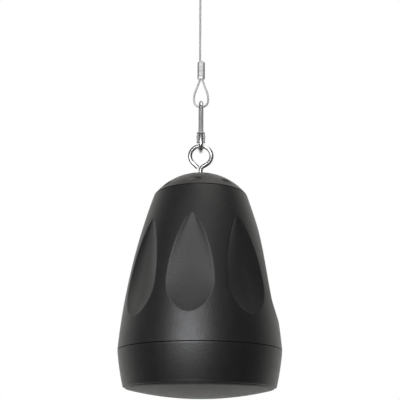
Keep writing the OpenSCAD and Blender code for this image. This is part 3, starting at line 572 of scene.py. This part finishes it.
# %% [markdown]
# ## The bell
#
# The bell is the look of this loudspeaker: a slightly bellied cone with eight teardrop scoops. Seen from the front a scoop is
# pointed above and round below, with a crisp border and a shallow floor. A boolean would leave a torn
# border on such a shallow cut, so the grid itself is bent to the drop's outline: the columns of
# the turned mesh gather along its edge, and then the points between them sink to the floor.

# %% Profile of the bell
LOW_R, TOP_R, BELLY = 115.0, 69.4, 7.3
LOW_Z, WIDE_Z, DEEP_Z, TIP_Z = 38.0, 84.0, 100.0, 179.0
HALF_ANGLE, DEPTH = 17.8, 6.8


def bell_r(z):
    t = z / BELL_H
    return LOW_R + (TOP_R - LOW_R) * t + BELLY * 4 * t * (1 - t)


def scoop_angle(z):
    """Half of the scoop's width at a height, in degrees round the bell."""
    if z >= WIDE_Z:
        t = (z - WIDE_Z) / (TIP_Z - WIDE_Z)
        return HALF_ANGLE * (1 - t * t) ** 0.8 if t < 1 else 0.0
    t = (WIDE_Z - z) / (WIDE_Z - LOW_Z)
    return HALF_ANGLE * (1 - t * t) ** 0.6 if t < 1 else 0.0


def floor_depth(z):
    """Depth along a scoop's middle: a long easy slope from below, deepest above its widest place."""
    if z <= DEEP_Z:
        t = (z - LOW_Z) / (DEEP_Z - LOW_Z)
        return DEPTH * t * (2 - t) if t > 0 else 0.0
    t = (z - DEEP_Z) / (TIP_Z - DEEP_Z)
    return DEPTH * (1 - t * t) if t < 1 else 0.0


def scoop_depth(z, share):
    return floor_depth(z) * (1 - abs(share) ** 2.4) if abs(share) < 1 else 0.0


rows = [0.75 + 34 * k / 8 for k in range(9)]
rows += [WIDE_Z - (WIDE_Z - LOW_Z) * math.cos(math.radians(90 * k / 26)) for k in range(27)]
rows += [WIDE_Z + (TIP_Z - WIDE_Z) * math.sin(math.radians(90 * k / 44)) for k in range(1, 45)]
rows += [TIP_Z + (BELL_H - 0.75 - TIP_Z) * k / 14 for k in range(1, 15)]
outer = [(bell_r(z), z) for z in rows]
low_lip = [(bell_r(0.45) - 0.35, 0.45)]
high_lip = [(bell_r(BELL_H) - 0.35, BELL_H - 0.45)]
inner_wall = 8.1
inner = [(66.1, BELL_H - 0.45), (65.8, BELL_H - 0.75), (65.8, 219.0), (46.4, 219.0), (46.0, 218.6), (46.0, 211.0)]
inner += [(bell_r(z) - inner_wall, z) for z in (211.0, 170.0, 130.0, 90.0, 50.0, 8.0)]
inner += [(110.6, 8.0), (110.6, 0.45)]
print("bell rows", len(outer))

# %% Turn the bell and sink its scoops
ACROSS, BETWEEN = 32, 16
COLUMNS = ACROSS + BETWEEN
PITCH = 360 / SCOOPS
PLAIN_HALF = PITCH * ACROSS / COLUMNS / 2


def settle(t):
    t = min(max(t, 0.0), 1.0)
    return t * t * (3 - 2 * t)


def grid_half(z):
    away = max(z - TIP_Z, LOW_Z - z, 0.0) / 30
    return max(scoop_angle(z), 4.0 + (PLAIN_HALF - 4.0) * settle(away))


bell = turned("scooped_bell", low_lip + outer + high_lip + inner, SCOOPS * COLUMNS)
centre = seam(0, 0, 0)
front = math.radians(SCOOP_TURN - 90)
for v in bell.data.vertices:
    x, y, z = ((v.co - centre) / MM)[:]
    r = math.hypot(x, y)
    if abs(r - bell_r(z)) > 0.4 or z < 0.4 or z > BELL_H:
        continue
    step = round((math.atan2(y, x) - front) / math.radians(PITCH / COLUMNS))
    scoop, column = divmod(step + ACROSS // 2, COLUMNS)
    half = grid_half(z)
    if column <= ACROSS:
        angle = half * (2 * column / ACROSS - 1)
    else:
        angle = half + (column - ACROSS) * (PITCH - 2 * half) / BETWEEN
    share = angle / scoop_angle(z) if scoop_angle(z) > 0.01 and column <= ACROSS else 1.0
    r -= scoop_depth(z, share)
    turn = front + math.radians(scoop * PITCH + angle)
    v.co = centre + Vector((r * math.cos(turn), r * math.sin(turn), z)) * MM
smooth(bell, 40)
report(bell)
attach(bell, "speaker")
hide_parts("housing")

# %% [markdown]
# ## The lower ring
#
# A separate tapered ring closes the bell and holds the grille. A fine gap shows where they meet, and its rim turns
# in over the grille's edge. It is turned with small radii at both edges, because no moulding
# has a knife edge.

# %% Turn the lower ring
RING_H, RING_LOW_R, RING_BELLY = 50.2, 106.1, 0.95


def ring_r(z):
    t = -z / RING_H
    return LOW_R + (RING_LOW_R - LOW_R) * t + RING_BELLY * 4 * t * (1 - t)


EDGE_H, EDGE_IN = 2.2, 1.4
ring_out = [(ring_r(z), z) for z in [-RING_H + EDGE_H + (RING_H - EDGE_H - 0.8) * k / 24 for k in range(25)]]
ring_edge = [(ring_out[0][0] - EDGE_IN * (1 - math.cos(a)), -RING_H + EDGE_H * (1 - math.sin(a)))
             for a in (math.radians(15 * k) for k in range(6, 0, -1))]
ring_profile = ring_edge + ring_out + [
    (ring_r(-0.45) - 0.1, -0.55), (ring_r(-0.45) - 0.4, -0.45), (110.3, -0.45), (110.3, 6.0), (106.7, 6.0),
    (106.7, -2.45), (104.2, -4.45), (104.2, -38.0), (94.0, -38.0), (94.0, -43.0), (104.2, -43.0),
    (104.2, -49.4), (104.6, -50.1),
]
ring = turned("lower_ring", ring_profile, 256)
smooth(ring, 35)
report(ring)
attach(ring, "speaker")
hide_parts("front_ring")

# %% [markdown]
# ## The grille
#
# The grille is sheet steel with thousands of small holes in staggered rows, pressed into a shallow dome and
# folded up at its rim. One hexagonal cell is modelled: a six-sided face is inset, and the middle is removed. Two array
# modifiers repeat it into a sheet. The cells outside the rim are deleted, the sheet is domed
# by moving its points, and Solidify gives it the thickness of the steel.

# %% Punch the sheet
GRILLE_R, BULGE, RIM_Z = 103.5, 12.4, -52.3
SHOULDER_R, RIM_TOP = 100.4, -50.5
HOLE_PITCH = 2.75
BALL = (GRILLE_R**2 + BULGE**2) / (2 * BULGE)
cell_r = HOLE_PITCH / math.sqrt(3)


def dome_z(r):
    """The shallow ball, and a tight shoulder where the sheet turns up to its rim."""
    z = RIM_Z - BULGE + BALL - math.sqrt(BALL * BALL - r * r)
    if r <= SHOULDER_R:
        return z
    u = min((r - SHOULDER_R) / (GRILLE_R - SHOULDER_R), 1.0)
    return z + (RIM_TOP - z) * (1 - math.sqrt(1 - u * u))


columns = int(2 * GRILLE_R / HOLE_PITCH) + 2
lines = int(2 * GRILLE_R / (HOLE_PITCH * math.sin(math.radians(60)))) // 2 + 2
bpy.ops.object.select_all(action="DESELECT")
bpy.ops.mesh.primitive_circle_add(vertices=6, radius=cell_r * MM, fill_type="NGON")
sheet = bpy.context.active_object
sheet.name = "punched_grille"
bpy.ops.object.mode_set(mode="EDIT")
bpy.ops.mesh.select_all(action="SELECT")
bpy.ops.mesh.inset(thickness=0.55 * MM, depth=0)
bpy.ops.mesh.delete(type="FACE")
bpy.ops.mesh.select_all(action="SELECT")
bpy.ops.mesh.duplicate_move(TRANSFORM_OT_translate={
    "value": (HOLE_PITCH / 2 * MM, HOLE_PITCH * math.sin(math.radians(60)) * MM, 0)})
bpy.ops.object.mode_set(mode="OBJECT")
apply_modifier(sheet, "ARRAY", count=columns, use_relative_offset=False, use_constant_offset=True,
               constant_offset_displace=(HOLE_PITCH * MM, 0, 0))
apply_modifier(sheet, "ARRAY", count=lines, use_relative_offset=False, use_constant_offset=True,
               constant_offset_displace=(0, 2 * HOLE_PITCH * math.sin(math.radians(60)) * MM, 0))
print("cells", columns * lines * 2)

# %% Trim, dome and thicken it
only(sheet)
bpy.ops.object.mode_set(mode="EDIT")
bpy.ops.mesh.select_all(action="SELECT")
bpy.ops.mesh.remove_doubles(threshold=0.02 * MM)
bpy.ops.object.mode_set(mode="OBJECT")
middle = Vector(((columns - 1) * HOLE_PITCH / 2, (lines - 1) * HOLE_PITCH * math.sin(math.radians(60)), 0))
for v in sheet.data.vertices:
    v.co = v.co - middle * MM
bm = bmesh.new()
bm.from_mesh(sheet.data)
loose = [v for v in bm.verts if math.hypot(v.co.x, v.co.y) > 103.1 * MM]
bmesh.ops.delete(bm, geom=loose, context="VERTS")
bare = [e for e in bm.edges if not e.link_faces]
bmesh.ops.delete(bm, geom=bare, context="EDGES")
bmesh.ops.delete(bm, geom=[v for v in bm.verts if not v.link_faces], context="VERTS")
bm.to_mesh(sheet.data)
bm.free()
for v in sheet.data.vertices:
    r = math.hypot(v.co.x, v.co.y) / MM
    v.co = seam(v.co.x / MM, v.co.y / MM, dome_z(r) + 0.2)
tidy(sheet)
apply_modifier(sheet, "SOLIDIFY", thickness=0.7 * MM, offset=-1.0)
report(sheet)

# %% Fold the rim
rim_profile = [(r, dome_z(r)) for r in (102.5, 102.8, 103.1, 103.3, 103.42)] + [
    (GRILLE_R, RIM_TOP + 0.1), (GRILLE_R, -43.05), (102.3, -43.05), (102.3, dome_z(102.3) + 1.0),
]
rim = turned("grille_rim", rim_profile, 256)
bpy.ops.object.select_all(action="DESELECT")
rim.select_set(True)
sheet.select_set(True)
bpy.context.view_layer.objects.active = sheet
bpy.ops.object.join()
smooth(sheet, 30)
report(sheet)
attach(sheet, "speaker")
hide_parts("grille")

# %% Lay the cloth behind it
CLOTH_R, CLOTH_GAP, CLOTH_T = 100.2, 1.2, 0.4
under = [(r, dome_z(r) + CLOTH_GAP) for r in [0.01] + [CLOTH_R * k / 16 for k in range(1, 17)]]
over = [(r, z + CLOTH_T) for r, z in reversed(under)]
cloth = turned("backing_cloth", under + over, 96, closed=False)
smooth(cloth, 35)
report(cloth)
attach(cloth, "speaker")
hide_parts("grille_cloth")

# %% [markdown]
# ## Finishes
#
# Every finish is built from noise in the object's own coordinates, so it stays on the piece from every side.
# One helper makes them all: a base colour with a slight cloudiness, a roughness that wanders as handled surfaces do,
# and a fine bump. What changes from one finish to the next is the size of the grain and how deep it is.

# %% A helper for finishes
def finish(name, colour, roughness, metal=0.0, grain=0.6, bump=0.02, cloud=0.12, wander=0.06, second=None,
           coat=0.0, stretch=(1, 1, 1), sheen=0.0):
    """grain is the size of the bump's features in millimetres, and bump is their height in millimetres."""
    made = bpy.data.materials.new(name)
    made.use_nodes = True
    tree = made.node_tree
    shader = tree.nodes["Principled BSDF"]
    shader.inputs["Metallic"].default_value = metal
    shader.inputs["Coat Weight"].default_value = coat
    shader.inputs["Sheen Weight"].default_value = sheen
    place = tree.nodes.new("ShaderNodeTexCoord")
    scale = tree.nodes.new("ShaderNodeMapping")
    scale.inputs["Scale"].default_value = stretch
    tree.links.new(place.outputs["Object"], scale.inputs["Vector"])

    def noise(size, detail=3.0):
        texture = tree.nodes.new("ShaderNodeTexNoise")
        texture.inputs["Scale"].default_value = 1000 / size
        texture.inputs["Detail"].default_value = detail
        tree.links.new(scale.outputs["Vector"], texture.inputs["Vector"])
        return texture.outputs["Fac"]

    ramp = tree.nodes.new("ShaderNodeValToRGB")
    ramp.color_ramp.elements[0].position = 0.3
    ramp.color_ramp.elements[1].position = 0.7
    ramp.color_ramp.elements[0].color = [c * (1 - cloud) for c in colour] + [1]
    ramp.color_ramp.elements[1].color = [min(c * (1 + cloud), 1) for c in colour] + [1]
    tree.links.new(noise(22), ramp.inputs["Fac"])
    tree.links.new(ramp.outputs["Color"], shader.inputs["Base Color"])
    spread = tree.nodes.new("ShaderNodeMapRange")
    spread.inputs["To Min"].default_value = max(roughness - wander, 0.02)
    spread.inputs["To Max"].default_value = roughness + wander
    tree.links.new(noise(9), spread.inputs["Value"])
    tree.links.new(spread.outputs["Result"], shader.inputs["Roughness"])
    relief = tree.nodes.new("ShaderNodeBump")
    relief.inputs["Distance"].default_value = bump * MM
    tree.links.new(noise(grain, 2.0), relief.inputs["Height"])
    if second:
        pebble = tree.nodes.new("ShaderNodeTexVoronoi")
        pebble.inputs["Scale"].default_value = 1000 / second[0]
        tree.links.new(scale.outputs["Vector"], pebble.inputs["Vector"])
        under = tree.nodes.new("ShaderNodeBump")
        under.inputs["Distance"].default_value = second[1] * MM
        tree.links.new(pebble.outputs["Distance"], under.inputs["Height"])
        tree.links.new(under.outputs["Normal"], relief.inputs["Normal"])
    tree.links.new(relief.outputs["Normal"], shader.inputs["Normal"])
    return made


def grey(value):
    return (value, value, value)


finishes = {
    "bell_plastic": finish("textured_black_moulding", (0.0105, 0.0105, 0.011), 0.43, grain=1.0, bump=0.04,
                           second=(2.4, 0.07)),
    "cap_plastic": finish("charcoal_moulding", (0.021, 0.02, 0.019), 0.42, grain=0.7, bump=0.04),
    "inner_plastic": finish("plain_black_moulding", grey(0.02), 0.45, grain=0.9, bump=0.03),
    "dial_plastic": finish("grey_moulding", grey(0.35), 0.4, grain=0.5, bump=0.02),
    "terminal_plastic": finish("green_terminal_moulding", (0.02, 0.2, 0.07), 0.3, grain=1.5, bump=0.01),
    "board_laminate": finish("green_board_laminate", (0.01, 0.12, 0.04), 0.25, grain=2.0, bump=0.01, cloud=0.25),
    "capacitor_film": finish("blue_shrink_sleeve", (0.02, 0.06, 0.3), 0.3, grain=3.0, bump=0.05),
    "polished_steel": finish("polished_steel", grey(0.66), 0.26, metal=1.0, grain=2.5, bump=0.01, wander=0.05),
    "gate_steel": finish("satin_gate_steel", grey(0.44), 0.78, metal=1.0, grain=0.4, bump=0.015, stretch=(6, 6, 1)),
    "rope_steel": finish("drawn_wire", grey(0.6), 0.62, metal=1.0, grain=0.5, bump=0.01, cloud=0.1),
    "ferrule_metal": finish("pressed_aluminium", grey(0.6), 0.46, metal=1.0, grain=1.2, bump=0.02),
    "zinc_steel": finish("zinc_plate", (0.6, 0.6, 0.57), 0.32, metal=1.0, grain=1.5, bump=0.015, cloud=0.18),
    "grille_paint": finish("grille_powder_coat", grey(0.022), 0.42, grain=0.4, bump=0.02),
    "black_paint": finish("black_basket_paint", grey(0.02), 0.4, grain=0.8, bump=0.04),
    "core_iron": finish("lacquered_laminations", (0.12, 0.11, 0.11), 0.35, metal=0.6, grain=0.5, bump=0.05,
                        stretch=(1, 12, 1)),
    "magnet_ferrite": finish("ground_ferrite", grey(0.06), 0.6, grain=0.8, bump=0.04, cloud=0.3),
    "copper_wire": finish("enamelled_copper", (0.5, 0.19, 0.07), 0.3, metal=0.9, grain=0.6, bump=0.08,
                          stretch=(1, 1, 8)),
    "cone_paper": finish("black_pulp", grey(0.025), 0.8, grain=0.8, bump=0.12, second=(2.2, 0.1)),
    "spider_cloth": finish("impregnated_cloth", (0.42, 0.32, 0.13), 0.8, grain=0.5, bump=0.12),
    "grille_cloth": finish("black_backing_cloth", grey(0.008), 0.95, grain=0.4, bump=0.15, second=(0.8, 0.1)),
    "rubber": finish("black_rubber", grey(0.015), 0.6, grain=1.5, bump=0.02, sheen=0.1),
    "dome_metal": finish("drawn_foil", grey(0.55), 0.3, metal=1.0, grain=1.0, bump=0.01),
}
print("finishes", len(finishes))

# %% Give every node and every new piece its finish
slot_of = {part["node"]: part["material_slot"] for part in frame["record"]["subparts"]}


def wear(obj, material):
    obj.data.materials.clear()
    obj.data.materials.append(material)


for name, obj in nodes.items():
    wear(obj, finishes[slot_of[name]])
    smooth(obj, 35)

dressed = [
    (wire_rope, "rope_steel"), (ferrule, "ferrule_metal"), (coupling, "zinc_steel"), (hook, "polished_steel"),
    (gate, "gate_steel"), (rivet, "zinc_steel"), (eye, "polished_steel"), (cap, "cap_plastic"),
    (bell, "bell_plastic"), (ring, "bell_plastic"), (sheet, "grille_paint"),
    (cloth, "grille_cloth"),
]
for obj, slot in dressed:
    wear(obj, finishes[slot])
for obj in (wire_rope,):
    smooth(obj, 60)
print("dressed pieces", len(dressed))

# %% [markdown]
# ## Studio and light
#
# The photograph is a catalogue picture on pure white. The dark moulding shows its form almost only by what it reflects:
# soft light edges at both sides, and a broad, weak glow on the front. So the world is white
# to the camera and to reflections, and gives only a moderate plain light itself. Large soft lamps
# stand where the photographer's did.

# %% World and floor
world = bpy.data.worlds.new("white_studio")
bpy.context.scene.world = world
world.use_nodes = True
tree = world.node_tree
tree.nodes.clear()
out = tree.nodes.new("ShaderNodeOutputWorld")
where = tree.nodes.new("ShaderNodeTexCoord")
split = tree.nodes.new("ShaderNodeSeparateXYZ")
studio = tree.nodes.new("ShaderNodeMapRange")
studio.interpolation_type = "SMOOTHSTEP"
studio.inputs["From Min"].default_value = -0.15
studio.inputs["From Max"].default_value = 0.75
studio.inputs["To Min"].default_value = 0.05
studio.inputs["To Max"].default_value = 1.0
tree.links.new(where.outputs["Generated"], split.inputs["Vector"])
tree.links.new(split.outputs["Y"], studio.inputs["Value"])
plain = tree.nodes.new("ShaderNodeBackground")
plain.inputs["Color"].default_value = (1, 0.99, 0.96, 1)
tree.links.new(studio.outputs["Result"], plain.inputs["Strength"])
white = tree.nodes.new("ShaderNodeBackground")
white.inputs["Color"].default_value = (1, 1, 1, 1)
rays = tree.nodes.new("ShaderNodeLightPath")
either = tree.nodes.new("ShaderNodeMath")
either.operation = "MAXIMUM"
mix = tree.nodes.new("ShaderNodeMixShader")
tree.links.new(rays.outputs["Is Camera Ray"], either.inputs[0])
tree.links.new(rays.outputs["Is Transmission Ray"], either.inputs[1])
tree.links.new(either.outputs[0], mix.inputs["Fac"])
tree.links.new(plain.outputs[0], mix.inputs[1])
tree.links.new(white.outputs[0], mix.inputs[2])
tree.links.new(mix.outputs[0], out.inputs["Surface"])

bpy.ops.object.select_all(action="DESELECT")
bpy.ops.mesh.primitive_circle_add(vertices=128, radius=1.3, fill_type="NGON", location=(0, 0, -2.2))
floor = bpy.context.active_object
floor.name = "studio_floor"
pale = bpy.data.materials.new("pale_floor")
pale.use_nodes = True
pale.node_tree.nodes["Principled BSDF"].inputs["Base Color"].default_value = (0.86, 0.86, 0.85, 1)
pale.node_tree.nodes["Principled BSDF"].inputs["Roughness"].default_value = 0.9
pale.node_tree.nodes["Principled BSDF"].inputs["Emission Color"].default_value = (1, 1, 1, 1)
seen = pale.node_tree.nodes.new("ShaderNodeLightPath")
glow = pale.node_tree.nodes.new("ShaderNodeMath")
glow.operation = "MULTIPLY"
glow.inputs[1].default_value = 0.5
pale.node_tree.links.new(seen.outputs["Is Camera Ray"], glow.inputs[0])
pale.node_tree.links.new(glow.outputs[0], pale.node_tree.nodes["Principled BSDF"].inputs["Emission Strength"])
floor.data.materials.append(pale)


# %% Lamps
def soft_lamp(name, place, target, size, power, colour=(1, 1, 1)):
    bpy.ops.object.select_all(action="DESELECT")
    bpy.ops.object.light_add(type="AREA", location=place)
    lamp = bpy.context.active_object
    lamp.name = name
    lamp.data.shape = "RECTANGLE"
    lamp.data.size, lamp.data.size_y = size
    lamp.data.energy = power
    lamp.data.color = colour
    lamp.rotation_euler = (Vector(target) - Vector(place)).to_track_quat("-Z", "Y").to_euler()
    return lamp


middle_of = seam(0, 0, 60)
soft_lamp("lamp_main", (-0.35, -1.38, -0.31), middle_of, (0.95, 0.75), 19.5, (0.97, 0.98, 1.0))
soft_lamp("lamp_top", (0.3, -0.5, 1.2), seam(0, 0, 200), (1.2, 1.2), 10, (1.0, 0.97, 0.92))
hook_lamp = soft_lamp("lamp_hook", (-0.12, -0.62, -0.1), hung(0, 0, -280), (0.8, 0.3), 0.28)
hook_lamp.visible_camera = False
